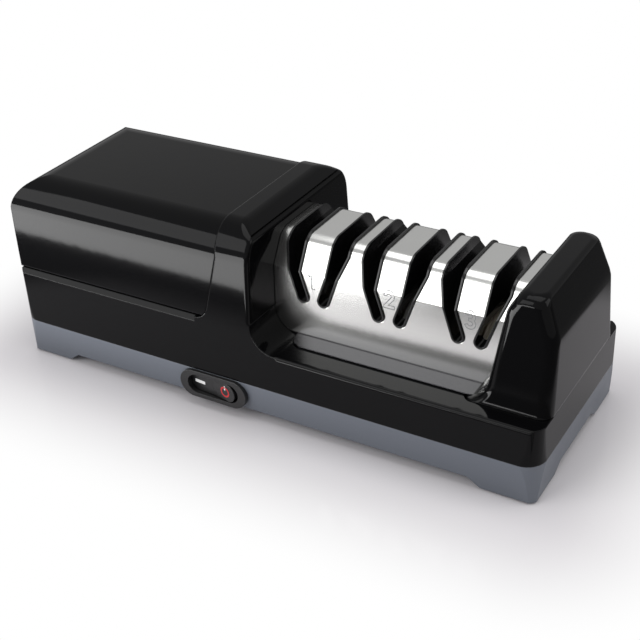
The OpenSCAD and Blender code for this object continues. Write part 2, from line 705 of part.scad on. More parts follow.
blade_count = 9;
module cooling_fan() color("#d8d4c6") difference() {
    union() {
        rod_x(fan_x0 - 0.5, fan_x0 + fan_l + 0.5, 6);
        rod_x(fan_x0, fan_x0 + 1.2, fan_r - 3);
        for (k = [0:blade_count - 1]) translate([fan_x0, 0, spindle_z]) rotate([k*360/blade_count, 0, 0])
            translate([0.6, -0.6, 5]) cube([fan_l - 0.6, 1.2, fan_r - 5]);
    }
    rod_x(fan_x0 - 1, fan_x0 + fan_l + 1, shaft_r);
}

coupling_r = spindle_r + 4.5;
module shaft_coupling() color("#54585c") difference() {
    rod_x(coupling_x0, coupling_x0 + coupling_l, coupling_r);
    rod_x(coupling_x0 - 1, coupling_mid + eps, shaft_r);
    rod_x(coupling_mid, coupling_x0 + coupling_l + 1, spindle_r);
}

// ---------------------------------------------------------------- base

function base_x(z) = half_l - base_taper*(seam_z - z)/seam_z;
function base_y(z) = half_d - base_taper*(seam_z - z)/seam_z;
foot_slope = 6;                              // length of the slanted step beside each foot

module base_outer() intersection() {
    along_z(pad_t, seam_z) body_plan(0);
    along_y(far/2) {
        x_in = base_x(0) - foot_l;
        polygon([[-base_x(pad_t), pad_t], [-base_x(seam_z), seam_z], [base_x(seam_z), seam_z],
                 [base_x(pad_t), pad_t], [x_in, pad_t], [x_in - foot_slope, foot_h],
                 [-x_in + foot_slope, foot_h], [-x_in, pad_t]]);
    }
    along_x(-far/2, far/2) polygon([[-base_y(pad_t), pad_t], [-base_y(seam_z), seam_z],
        [base_y(seam_z), seam_z], [base_y(pad_t), pad_t]]);
}

vent_count = 7;
vent_pitch = 7;
post_top_z = bracket_z0 - mount_t;
module base_tray() color(blue_grey) {
    difference() {
        base_outer();
        along_z(floor_z, seam_z + 1) body_plan(base_wall + base_taper);
        along_x(-far/2, far/2) {             // gap between the front and the back feet
            y_in = base_y(0) - foot_d;
            polygon([[-y_in, pad_t - 1], [-y_in, pad_t], [-y_in + foot_slope, foot_h], [y_in - foot_slope, foot_h],
                     [y_in, pad_t], [y_in, pad_t - 1]]);
        }
        for (k = [0:vent_count - 1]) translate([motor_x + (k - (vent_count - 1)/2)*vent_pitch, 0, 0])
            along_z(foot_h - 1, floor_z + 1) rotate(90) stadium(30, 3);
        translate([switch_x, -housing_back + 0.5, switch_z]) rotate([90, 0, 0]) linear_extrude(20)
            stadium(housing_w, housing_h);
        translate([gland_x, half_d + 5, gland_z]) rotate([90, 0, 0]) cylinder(r = gland_r, h = 20);
        for (p = screw_places) translate([p[0], p[1], 0]) {
            cylinder(r = screw_r + 0.2, h = far);
            cylinder(r = screw_head_r + 0.3, h = screw_head_z + screw_head_t);
        }
    }
    for (x = post_x, s = [-1, 1]) translate([x, s*post_y, floor_z - eps])
        ring(mount_r + 1, mount_screw_r + 0.1, post_top_z - floor_z + eps);
    for (p = screw_places) translate([p[0], p[1], floor_z - eps])
        ring(screw_r + 2, screw_r + 0.2, seam_z - floor_z + eps);
}
screw_head_r = 2.9;
screw_head_z = 2;
screw_head_t = 2;

module foot_pad(sx, sy) color("#26272a")
    translate([sx*(base_x(0) - foot_l/2 - 2), sy*(base_y(0) - foot_d/2 - 2), 0])
        cylinder(r = 8, h = pad_t);

module base_screws() color("#b9bcc0") for (p = screw_places) translate([p[0], p[1], screw_head_z]) {
    cylinder(r = screw_head_r, h = screw_head_t);
    cylinder(r = screw_r, h = seam_z + boss_h - 3 - screw_head_z);
}

gland_in = 26;                               // from the end of the body to the cord gland
gland_x = gland_in - half_l;
gland_z = 13.2;
gland_r = 5.5;
gland_bore = 3.4;
module cord_gland() color("#17181a") translate([gland_x, 0, gland_z]) rotate([-90, 0, 0]) difference() {
    union() {
        translate([0, 0, base_y(gland_z + gland_r + 1.6)])
            cylinder(r = gland_r + 1.6, h = rocker_reach - base_y(gland_z + gland_r + 1.6));
        translate([0, 0, half_d - 9]) cylinder(r = gland_r - seat_gap, h = 9);
    }
    translate([0, 0, half_d - 10]) cylinder(r = gland_bore, h = 20);
}

// ---------------------------------------------------------------- power switch

switch_z = (foot_h + seam_z)/2;
side_gap = 0.3;                              // gap above and below the rocker
end_gap = 0.8;                               // gap at the rocker's ends
housing_w = rocker_w + 2*end_gap + 2.4;
housing_h = rocker_h + 2*side_gap + 2;
switch_face = half_d + bezel_t;              // distance of the bezel's front from the middle
housing_back = half_d - 16;
pivot_y = half_d - 3.8;
pivot_r = 1.2;
rocker_front = 3.6;                          // distance of the rocker's face from its pin
rocker_dip = 0.8;                            // how much its middle is hollowed
rocker_reach = pivot_y + rocker_w/2*sin(rocker_lean) + (rocker_front + rocker_dip)*cos(rocker_lean);

module facing_front(y0, y1) rotate([90, 0, 0]) translate([0, 0, y0]) linear_extrude(y1 - y0) children();

module switch_frame() color("#222224") translate([switch_x, 0, switch_z]) difference() {
    union() {
        difference() {
            facing_front(half_d - 3, switch_face) stadium(bezel_w, bezel_h);
            translate([-switch_x, 0, -switch_z]) along_x(-far/2, far/2) polygon([[0, 0], [-base_y(0), 0],
                [-base_y(seam_z), seam_z], [0, seam_z]]);
        }
        facing_front(housing_back, half_d) stadium(housing_w - 2*seat_gap, housing_h - 2*seat_gap);
    }
    facing_front(housing_back + 1.2, switch_face + 1) stadium(rocker_w + 2*end_gap, rocker_h + 2*side_gap);
    translate([0, -pivot_y, -housing_h]) cylinder(r = pivot_r, h = 2*housing_h);
}

// The rocker: a pill with a slightly hollow face, on a pin along Z.
module switch_rocker() color("#1d1d1f") translate([switch_x, -pivot_y, switch_z]) rotate([0, 0, -rocker_lean]) {
    pin = rocker_h/2 + side_gap + 0.8;
    intersection() {
        facing_front(-5, 15) stadium(rocker_w, rocker_h);
        translate([0, 0, -rocker_h]) linear_extrude(2*rocker_h) polygon([
            [-rocker_w/2 - 1, -rocker_front - rocker_dip], [0, -rocker_front],
            [rocker_w/2 + 1, -rocker_front - rocker_dip], [rocker_w/2 + 1, 0],
            [4, 3.5], [-4, 3.5], [-rocker_w/2 - 1, 0]]);
    }
    translate([0, 0, -pin]) cylinder(r = pivot_r - run_gap, h = 2*pin);
}

tab_pitch = 9;
module switch_terminals() color("#c8a24a") for (k = [-1:1])
    translate([switch_x + k*tab_pitch - 2.4, -housing_back, switch_z - 0.4]) cube([4.8, tab_l, 0.8]);

// ---------------------------------------------------------------- leads

module tube_path(pts, r) for (k = [0:len(pts) - 2]) {
    a = pts[k];
    b = pts[k + 1];
    d = b - a;
    translate(a) rotate([0, acos(d[2]/norm(d)), atan2(d[1], d[0])]) cylinder(r = r, h = norm(d), $fn = 24);
    if (k > 0) translate(a) sphere(r + 0.15, $fn = 24);
}
lead_r = 1;
tab_l = 9;
// A lead from a terminal: straight off the tab, along the tray to the motor, up and over to the coil.
module lead(x_tab, x_coil, y_run, turn, tint) {
    y_tab = tab_l - housing_back;
    color(tint) tube_path([[x_tab, y_tab + 0.05, switch_z], [x_tab, y_tab + turn, switch_z],
        [x_coil, y_run, switch_z + 2], [x_coil, y_run, stack_z1 - 6],
        [x_coil, -bobbin_w/2 - 0.1, stack_z1 - 6]], lead_r);
}

// ---------------------------------------------------------------- assembly

base_tray();
foot_pad(-1, -1);  // foot_pad_front_left
foot_pad(1, -1);  // foot_pad_front_right
foot_pad(-1, 1);  // foot_pad_back_left
foot_pad(1, 1);  // foot_pad_back_right
body_shell();
motor_cover();
guide_cover();
guide_insert(0);  // guide_insert_coarse
guide_insert(1);  // guide_insert_fine
guide_insert(2);  // guide_insert_polish
guide_magnet(0, -1);  // guide_magnet_1
guide_magnet(0, 1);  // guide_magnet_2
guide_magnet(1, -1);  // guide_magnet_3
guide_magnet(1, 1);  // guide_magnet_4
guide_magnet(2, -1);  // guide_magnet_5
guide_magnet(2, 1);  // guide_magnet_6
switch_frame();
switch_rocker();
switch_terminals();
cord_gland();
spindle_carrier();
bearing_bush(left_bearing_x);  // left_bearing
bearing_bush(right_bearing_x);  // right_bearing
spindle();
spindle_clips();
disc(0, -1, "#8f9296");  // coarse_disc_left
disc(0, 1, "#8f9296");  // coarse_disc_right
disc(1, -1, "#a6a9ad");  // fine_disc_left
disc(1, 1, "#a6a9ad");  // fine_disc_right
disc(2, -1, "#c9c2b4");  // polish_disc_left
disc(2, 1, "#c9c2b4");  // polish_disc_right
disc_spring(0);  // disc_spring_coarse
disc_spring(1);  // disc_spring_fine
disc_spring(2);  // disc_spring_polish
shaft_coupling();
motor_shaft();
rotor_core();
cooling_fan();
stator_stack();
coil_bobbin();
motor_coil();
bracket(-1);  // rear_bracket
bracket(1);  // front_bracket
motor_bush(-1);  // rear_bush
motor_bush(1);  // front_bush
motor_screws();
motor_mounts();
mount_screws();
lead(switch_x - tab_pitch, stack_x1 + 9, -stack_w/2 - 6, 2, "#7a3a2a");  // lead_live
lead(switch_x, stack_x1 + 4, -stack_w/2 - 3.5, 8, "#2a4a7a");  // lead_neutral
base_screws();
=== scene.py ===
"""The looks of the knife sharpener: finishes for every piece, the marks on it, the table and the light."""

import math

import bmesh
import bpy
import numpy as np
from bpy.props import FloatProperty, FloatVectorProperty, PointerProperty
from bpy.types import Operator, Panel, PropertyGroup
from mathutils import Matrix, Vector
from mathutils.bvhtree import BVHTree


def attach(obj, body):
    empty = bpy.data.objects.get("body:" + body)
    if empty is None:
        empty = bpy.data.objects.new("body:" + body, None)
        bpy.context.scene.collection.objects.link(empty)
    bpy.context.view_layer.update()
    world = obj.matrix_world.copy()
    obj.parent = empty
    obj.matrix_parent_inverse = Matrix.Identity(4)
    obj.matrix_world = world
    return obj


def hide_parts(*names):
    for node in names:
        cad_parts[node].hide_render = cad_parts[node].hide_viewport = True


bl_info = {
    "name": "Knife Sharpener Looks",
    "version": (1, 0, 0),
    "blender": (4, 5, 0),
    "location": "View3D > Sidebar > Sharpener",
    "description": "Finishes, marks and stage for an electric knife sharpener",
    "category": "Object",
}

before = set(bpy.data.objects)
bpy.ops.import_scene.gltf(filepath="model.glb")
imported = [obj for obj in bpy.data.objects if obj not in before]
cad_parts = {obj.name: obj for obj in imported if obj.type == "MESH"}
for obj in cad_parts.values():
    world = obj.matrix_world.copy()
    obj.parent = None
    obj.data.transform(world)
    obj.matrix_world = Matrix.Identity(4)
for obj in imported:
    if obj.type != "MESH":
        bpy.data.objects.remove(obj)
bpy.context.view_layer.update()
MM = 0.001

# Sizes and places on the body, in millimetres and radians.
LEDGE_Z = 40                                 # top of the ledge round the guide cover
COLLAR_RIDGE_X = -9                          # crest of the collar
COLLAR_FOOT_X, COLLAR_FOOT_Z = 14, 54        # the collar's foot lies left of and below these

END_Z = 94.5                                 # top of the end wall
END_LOW_X = 113.4                            # where its inner face meets the ledge
END_PAST_Z = END_Z + 9                       # a height above the top, to which its slopes are carried on
END_INNER = ((0, 107.1), (LEDGE_Z, END_LOW_X), (85, 120.5), (END_Z, 126), (END_PAST_Z, 131.2))
END_OUTER = ((0, 146.5), (76, 144.75), (END_Z, 138), (END_PAST_Z, 134.7))
END_CREASE_SOFT = 1.5                        # the bends between those stretches are softened this far
END_HALF_D = 41                              # half its depth at the ledge
END_LEAN = math.radians(7)                   # lean of its front and back
END_SHOULDER_R = 5                           # between its top and its front and back
END_INNER_R, END_OUTER_R = 5, 6              # upright corners
END_FLARE, END_FLARE_SIDE = 9, 1             # reach of the flare at the foot, inwards and to the sides
END_TOP_R = 2                                # rounding round the top

BEND_Y, BEND_Z = 25.6, 74.4                  # bend between the guide cover's face and its slanted band
FACE_LEAN, BAND_SLOPE = math.radians(3.2), math.radians(59)
LIP_LOW_Z, LIP_HIGH_Z = 41, 41.6             # the lip's painted reflection, darker than the satin, gives way to the satin between these
STAGE_X = (21.2, 61.2, 101.2)                # middles of the three stages
DIGIT_UNITS = 10                             # height of the numbers' outlines, in their own units
DIGIT_Z = 71                                 # middle of the numbers
DIGIT_RISE = 0.03                            # how far they stand off the steel
CORNER_LIMIT = 0.4                           # keeps the corners of a drawn line from running out into spikes

ROCKER_X, ROCKER_Z = -23, 13.2               # middle of the rocker
PIVOT_Y = -48.05
ROCKER_LEAN = math.radians(8)                # its turn from facing straight forward
ROCKER_DEPTH = 3.6                           # from the pivot to the middle of the rocker's face
ROCKER_DIP, ROCKER_DIP_REACH = 0.8, 15       # the face stands so much further out so far from its middle
DASH_U, DASH_HALF_W, DASH_HALF_H = -8.7, 3.1, 0.9   # U is a mark's place along the rocker from its middle
RING_U, RING_R, RING_LINE = 7.6, 2.5, 0.9
TICK_HALF_W, TICK_LOW, TICK_HIGH = 0.4, 1, 3.4   # the tick lies this far above the ring's middle
PRINT_RISE = 0.04                            # how far the marks stand off the rocker

# Rounding of the body shell, in millimetres and radians.
RIM_RADIUS = 2                               # of the ledge's rim and of the collar's
RIM_Z = LEDGE_Z - 3                          # those rims lie above this height
RIM_LEFT_X = COLLAR_RIDGE_X - 3              # and between these places,
RIM_RIGHT_X = END_LOW_X - 1.9                # of which this lies just past the opening under the guide cover
CUT_X, CUT_Z = END_LOW_X - 1, LEDGE_Z + 0.05   # beyond and above these the end wall takes the shell's place
SAME_POINT = 0.02                            # corners closer than this are one
FLAT = math.radians(0.6)                     # facets that differ less are one face
SHARP = math.radians(24)                     # edges that bend less are shaded smooth
EDGE_OFF = 0.2                               # the test whether an edge lies open starts this far out from it

# The stage, in metres.
CAMERA_TURN = (31.89, 31.34, -3.0)           # azimuth, elevation and roll, in degrees
CAMERA_AIM = (0, 0, 50 * MM)
CAMERA_BACK, CAMERA_RIGHT, CAMERA_UP = 618.64 * MM, 7.54 * MM, -17.35 * MM   # from there, along its axes
FLOOR_HALF = 6.0                             # half the table's side
FOOTPRINT = (0.146, 0.052, 0)                # half the object's footprint
FADE_NEAR, FADE_FAR = 0.0, 0.08              # metres beyond it where the white begins and is full
DARK_NEAR, DARK_FAR = 0.08, 0.12             # metres beyond it where the studio's dark begins and is full
DARK_STRENGTH = 0.15
SKY_SEEN, SKY_LIGHT = 1.0, 0.5               # strength of the surroundings to the camera, and as light
WHITE = (1, 1, 1, 1)
LAMPS = (
    # name, place, aim, width and height, brightness
    ("key_front_left", (-0.75, -1.1, 0.85), (0, 0, 0.05), (1.2, 0.9), 2.8),
    ("fill_right", (1.3, 0.3, 0.8), (0, 0, 0.05), (0.9, 0.9), 2.0),
    ("top", (0, 0.1, 1.6), (0, 0, 0), (1.4, 1.0), 2.0),
    ("front_card", (-0.62, -1.08, 0.004), (-0.62, -1.08, 1), (1.2, 1.8), 11.0),
)


def linear(hex_colour):
    """The linear colour of an sRGB hex colour."""
    values = [int(hex_colour[i : i + 2], 16) / 255 for i in (1, 3, 5)]
    return tuple(v / 12.92 if v <= 0.04045 else ((v + 0.055) / 1.055) ** 2.4 for v in values)


# ---------------------------------------------------------------- sizes and colours


def colour(name, words, hex_colour):
    """A colour that can be changed in the sidebar."""
    return FloatVectorProperty(
        name=name, description=words, subtype="COLOR", size=3, min=0, max=1, default=linear(hex_colour)
    )


class SHARPENER_PG_body(PropertyGroup):
    black: colour("Black", "Colour of the gloss-black shells", "#080809")
    grey: colour("Base grey", "Colour of the grey base", "#636871")
    black_roughness: FloatProperty(
        name="Gloss roughness", description="Roughness of the black shells", default=0.07, min=0, max=1
    )
    edge: FloatProperty(
        name="Edge rounding", description="Radius of the moulded edges", default=0.8 * MM, unit="LENGTH"
    )


class SHARPENER_PG_guide(PropertyGroup):
    steel: colour("Steel", "Colour of the stainless guide cover", "#e0e0de")
    # The lip colour is a painted reflection: the lip is painted darker than the steel, by height.
    lip: colour("Lip", "Colour of the guide cover's polished lip", "#454547")
    liner: colour("Liner", "Colour of the slot liners", "#0b0b0c")
    steel_roughness: FloatProperty(
        name="Steel roughness", description="Roughness of the guide cover", default=0.2, min=0, max=1
    )
    etched: colour("Etched marks", "Colour of the numbers", "#6f7072")
    digit_h: FloatProperty(
        name="Digit height", description="Height of the stage numbers", default=8.9 * MM, unit="LENGTH"
    )
    digit_line: FloatProperty(
        name="Digit line", description="Width of the numbers' outline", default=0.4 * MM, unit="LENGTH"
    )


class SHARPENER_PG_switch(PropertyGroup):
    black: colour("Switch black", "Colour of the bezel and the rocker", "#1b1b1c")
    mark: colour("Dash", "Colour of the dash on the rocker", "#e9e9e9")
    ring: colour("Ring", "Colour of the ring on the rocker", "#c2262b")


class SHARPENER_PG_stage(PropertyGroup):
    floor: colour("Floor", "Colour of the table", "#dad7da")
    lens: FloatProperty(name="Lens", description="Focal length in millimetres", default=69.8, min=10)


# ---------------------------------------------------------------- materials


def node(tree, kind, inputs=(), **settings):
    """Adds one shader node, sets its properties, and its inputs from values or from other nodes' sockets."""
    made = tree.nodes.new(kind)
    for key, value in settings.items():
        setattr(made, key, value)
    for key, value in dict(inputs).items():
        if isinstance(value, bpy.types.NodeSocket):
            tree.links.new(value, made.inputs[key])
        else:
            made.inputs[key].default_value = value
    return made


def rgba(value):
    """A colour with full alpha."""
    return (*value, 1.0)


def new_material(name, base, metallic=0.0, roughness=0.5, **more):
    """A material with one Principled shader, and that shader."""
    mat = bpy.data.materials.new(name)
    mat.use_nodes = True
    mat.diffuse_color = rgba(base)
    shader = mat.node_tree.nodes["Principled BSDF"]
    shader.inputs["Base Color"].default_value = rgba(base)
    shader.inputs["Metallic"].default_value = metallic
    shader.inputs["Roughness"].default_value = roughness
    for key, value in more.items():
        shader.inputs[key].default_value = value
    return mat, shader


def object_coords(tree, stretch=(1, 1, 1)):
    """Object coordinates in millimetres, stretched along the axes."""
    coords = node(tree, "ShaderNodeTexCoord").outputs["Object"]
    scale = tuple(s / MM for s in stretch)
    return node(tree, "ShaderNodeMapping", {"Vector": coords, "Scale": scale}).outputs["Vector"]


def add_bump(tree, shader, height, depth, edge=0.0):
    """Bumps a shader by a height socket, depth deep, over edges rounded by edge, both in millimetres."""
    inputs = {"Height": height, "Distance": depth * MM, "Strength": 1.0}
    if edge > 0:
        inputs["Normal"] = node(tree, "ShaderNodeBevel", {"Radius": edge * MM}, samples=8).outputs["Normal"]
    tree.links.new(node(tree, "ShaderNodeBump", inputs).outputs["Normal"], shader.inputs["Normal"])


def moulded_plastic(name, base, roughness, grain, depth, edge):
    """Moulded plastic: a grain of some size and depth, and rounded edges, all in millimetres.

    Its gloss is slightly uneven, in patches of about 17 mm.
    """
    mat, shader = new_material(name, base, roughness=roughness)
    tree = mat.node_tree
    place = object_coords(tree)
    patches = node(tree, "ShaderNodeTexNoise", {"Vector": place, "Scale": 0.06}).outputs["Fac"]
    limits = {"Value": patches, "To Min": roughness * 0.85, "To Max": roughness * 1.2}
    tree.links.new(node(tree, "ShaderNodeMapRange", limits).outputs["Result"], shader.inputs["Roughness"])
    fine = node(tree, "ShaderNodeTexNoise", {"Vector": place, "Scale": 1 / grain, "Detail": 3})
    add_bump(tree, shader, fine.outputs["Fac"], depth, edge)
    return mat


def metal(name, base, roughness, marks_per_mm, depth, edge, anisotropy=0.0):
    """Metal with fine marks: their number per millimetre along each axis, their depth, and rounded edges."""
    mat, shader = new_material(name, base, metallic=1.0, roughness=roughness, Anisotropic=anisotropy)
    tree = mat.node_tree
    place = object_coords(tree, marks_per_mm)
    marks = node(tree, "ShaderNodeTexNoise", {"Vector": place, "Scale": 1.0, "Detail": 4}).outputs["Fac"]
    limits = {"Value": marks, "To Min": roughness * 0.8, "To Max": roughness * 1.25}
    tree.links.new(node(tree, "ShaderNodeMapRange", limits).outputs["Result"], shader.inputs["Roughness"])
    add_bump(tree, shader, marks, depth, edge)
    return mat


def dress(mat, slot, *names):
    """Gives CAD nodes a material. The slot, the record's finish that it stands for, is not used."""
    for name in names:
        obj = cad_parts[name]
        obj.data.materials.clear()
        obj.data.materials.append(mat)


# ---------------------------------------------------------------- meshes


def add_object(name, mesh, mat, smooth=True):
    """A piece at the origin from a mesh."""
    mesh.polygons.foreach_set("use_smooth", np.full(len(mesh.polygons), smooth))
    mesh.materials.append(mat)
    piece = bpy.data.objects.new(name, mesh)
    bpy.context.scene.collection.objects.link(piece)
    return piece


def mesh_object(name, points, faces, mat, smooth=True):
    """A piece at the origin from its points in metres and its faces."""
    mesh = bpy.data.meshes.new(name)
    mesh.from_pydata(np.asarray(points, float).tolist(), [], [tuple(map(int, face)) for face in faces])
    mesh.validate()
    mesh.update()
    return add_object(name, mesh, mat, smooth)


def merged_copy(name):
    """A CAD node's surface with its loose triangles joined."""
    bm = bmesh.new()
    bm.from_mesh(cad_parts[name].data)
    bmesh.ops.remove_doubles(bm, verts=bm.verts, dist=SAME_POINT * MM)
    bmesh.ops.dissolve_degenerate(bm, edges=bm.edges, dist=SAME_POINT * MM)
    return bm


def split(bm, parts, point, across):
    """Splits parts of a surface along a plane, given by a point of it in millimetres and its direction."""
    bmesh.ops.bisect_plane(bm, geom=parts, plane_co=Vector(point) * MM, plane_no=across, dist=1e-7)


def leave_out(bm, x, z):
    """Removes what lies both beyond x and above z, in millimetres, where another piece takes its place."""
    for face in bm.faces:
        face.tag = max(v.co.x for v in face.verts) > x * MM
    near = [part for parts in (bm.verts, bm.edges) for part in parts if any(f.tag for f in part.link_faces)]
    near += [face for face in bm.faces if face.tag]
    split(bm, near, (0, 0, z), (0, 0, 1))
    middles = [(face, face.calc_center_median()) for face in bm.faces]
    gone = [face for face, middle in middles if middle.x > x * MM and middle.z > z * MM]
    bmesh.ops.delete(bm, geom=gone, context="FACES")


def weigh_edges(bm, radius_at, largest):
    """Marks sharp edges, and gives those that lie open a bevel weight.

    The weight is radius_at(x, z) at the edge's middle, over the largest radius, all in millimetres.
    """
    tree = BVHTree.FromBMesh(bm)
    weight = bm.edges.layers.float.new("bevel_weight_edge")
    for edge in bm.edges:
        edge.smooth = edge.calc_face_angle(0) < SHARP
        if edge.smooth:
            continue
        middle = (edge.verts[0].co + edge.verts[1].co) / 2
        outward = (edge.link_faces[0].normal + edge.link_faces[1].normal).normalized()
        if tree.ray_cast(middle + outward * EDGE_OFF * MM, outward)[0] is None:
            edge[weight] = radius_at(middle.x / MM, middle.z / MM) / largest


# ---------------------------------------------------------------- outlines


def arc(middle, radius, start, end, count=14):
    """Points of an arc from start to end, in degrees: the middle plus the radius times (cosine, sine)."""
    angle = np.radians(np.linspace(start, end, count))
    return np.stack([middle[0] + radius * np.cos(angle), middle[1] + radius * np.sin(angle)], axis=1)


def rectangle(left, right, low, high):
    """The corners of an upright rectangle."""
    return np.array([(left, high), (left, low), (right, low), (right, high)])


def digit_outline(digit):
    """The closed outline of a 1, 2 or 3, ten units high, about the origin, with strokes of 1.8 units."""
    if digit == 1:
        return np.array([(0.9, 5), (0.9, -5), (-0.9, -5), (-0.9, 2.7), (-2.5, 1.8), (-2.5, 3.6), (-0.2, 5)])
    if digit == 2:
        bowl = (0, 2)
        foot = [(-0.4, -3.2), (3, -3.2), (3, -5), (-3, -5), (-3, -3.6)]
        return np.concatenate([arc(bowl, 3, 180, -38), foot, arc(bowl, 1.2, -38, 180)])
    upper, lower = (0, 2.1), (0, -1.9)
    outside = [arc(upper, 2.9, 160, -39.6), arc(lower, 3.1, 43.9, -160)]
    inside = [arc(lower, 1.3, -160, 90), [(-0.9, -0.6), (-0.9, 1)], arc(upper, 1.1, -90, 160)]
    return np.concatenate(outside + inside)


def ribbon(outline, width):
    """A closed line of some width: the outline's points moved half the width to either side, and its quads.

    A point moves along the sum of its two sides' normals, over that sum's reach along one of them. The reach
    counts as no less than CORNER_LIMIT.
    """
    step = np.roll(outline, -1, axis=0) - outline
    step /= np.linalg.norm(step, axis=1)[:, None]
    side = np.stack([-step[:, 1], step[:, 0]], axis=1)
    out = side + np.roll(side, 1, axis=0)
    out /= np.maximum((out * side).sum(axis=1), CORNER_LIMIT)[:, None]
    half = out * width / 2
    first = np.arange(len(outline))
    second = np.roll(first, -1)
    quads = np.stack([first, first + len(first), second + len(first), second], axis=1)
    return np.concatenate([outline + half, outline - half]), quads


# ---------------------------------------------------------------- pieces


def shell_radius(x, z):
    """Radius of the body shell's edge at a place, in millimetres: the ledge's rim and the collar's.

    Where the two rims meet, at the collar's foot, the edge is sharp.
    """
    if x < COLLAR_FOOT_X and z < COLLAR_FOOT_Z:
        return 0
    return RIM_RADIUS if z > RIM_Z and RIM_LEFT_X < x < RIM_RIGHT_X else 0


def body_shell(mat):
    """The body shell with its rims rounded, without the end wall. It is split where a rounding stops."""
    bm = merged_copy("body_shell")
    leave_out(bm, CUT_X, CUT_Z)
    bmesh.ops.dissolve_limit(bm, angle_limit=FLAT, verts=bm.verts, edges=bm.edges)
    for point, across in (((COLLAR_FOOT_X, 0, 0), (1, 0, 0)), ((0, 0, COLLAR_FOOT_Z), (0, 0, 1))):
        split(bm, list(bm.verts) + list(bm.edges) + list(bm.faces), point, across)
    weigh_edges(bm, shell_radius, RIM_RADIUS)
    mesh = bpy.data.meshes.new("body_shell_rounded")
    bm.to_mesh(mesh)
    bm.free()
    piece = add_object("body_shell_rounded", mesh, mat)
    bevel = piece.modifiers.new("rounded_edges", "BEVEL")
    bevel.limit_method = "WEIGHT"
    bevel.width = RIM_RADIUS * MM
    bevel.segments = 4
    bevel.use_clamp_overlap = False
    bevel.loop_slide = False
    even = piece.modifiers.new("even_shading", "WEIGHTED_NORMAL")
    even.keep_sharp = True
    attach(piece, "housing")
    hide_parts("body_shell")


def drawn_in(share):
    """How far a quarter round is drawn in, as a share of its radius: 1 - sqrt(1 - share^2)."""
    return 1 - np.sqrt(1 - np.clip(share, 0, 1) ** 2)


def end_wall(mat):
    """The end wall: rounded rectangles stacked from the ledge to the top.

    At height z the rectangle runs from inner(z) to outer(z) along x and over half(z) each way across. The
    first two follow END_INNER and END_OUTER, averaged over END_CREASE_SOFT each way. The third is END_HALF_D
    less the climb times tan(END_LEAN). The inner corners have the radius END_INNER_R and the outer ones
    END_OUTER_R. The foot flares as a quarter round of END_FLARE, and the shoulders are arcs of
    END_SHOULDER_R. Over the last END_TOP_R the ends draw in as a quarter round and the sides half as far.
    """
    shoulder_z = END_Z - END_SHOULDER_R
    foot = LEDGE_Z + END_FLARE * (1 - np.cos(np.linspace(0, np.pi / 2, 10)))
    side = np.linspace(LEDGE_Z + END_FLARE, shoulder_z, 18)[1:]
    shoulder = shoulder_z + END_SHOULDER_R * np.sin(np.linspace(0, np.pi / 2, 24)[1:])
    z = np.concatenate([foot, side, shoulder])

    around_z = z[:, None] + np.linspace(-END_CREASE_SOFT, END_CREASE_SOFT, 7)
    inner = np.interp(around_z, *zip(*END_INNER)).mean(axis=1)
    outer = np.interp(around_z, *zip(*END_OUTER)).mean(axis=1)
    half = END_HALF_D - (np.minimum(z, shoulder_z) - LEDGE_Z) * math.tan(END_LEAN)
    half -= END_SHOULDER_R * drawn_in((z - shoulder_z) / END_SHOULDER_R)
    flare = drawn_in(1 - (z - LEDGE_Z) / END_FLARE)
    top = END_TOP_R * drawn_in((z - END_Z + END_TOP_R) / END_TOP_R)
    x0 = inner - END_FLARE * flare + top
    x1 = outer - top
    half = half + END_FLARE_SIDE * flare - top / 2

    fit = np.minimum(1, (x1 - x0) / (END_INNER_R + END_OUTER_R))
    turn = np.radians(np.linspace(0, 90, 10))
    rows = []
    for corner, (to_x, to_y) in enumerate(((1, 1), (-1, 1), (-1, -1), (1, -1))):
        r = fit * (END_OUTER_R if to_x > 0 else END_INNER_R)
        middle_x = (x1 - r) if to_x > 0 else (x0 + r)
        middle_y = to_y * (half - r)
        angle = turn + corner * math.pi / 2
        x = middle_x[:, None] + r[:, None] * np.cos(angle)
        y = middle_y[:, None] + r[:, None] * np.sin(angle)
        rows.append(np.stack([x, y, np.broadcast_to(z[:, None], x.shape)], axis=-1))
    points = np.concatenate(rows, axis=1)

    levels, around = points.shape[:2]
    level, step = np.meshgrid(np.arange(levels - 1), np.arange(around), indexing="ij")
    a = level * around + step
    b = level * around + (step + 1) % around
    faces = np.stack([a, b, b + around, a + around], axis=-1).reshape(-1, 4).tolist()
    faces.append(range(around)[::-1])
    faces.append(range((levels - 1) * around, levels * around))
    piece = mesh_object("end_wall", points.reshape(-1, 3) * MM, faces, mat)
    piece.modifiers.new("even_shading", "WEIGHTED_NORMAL")
    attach(piece, "housing")


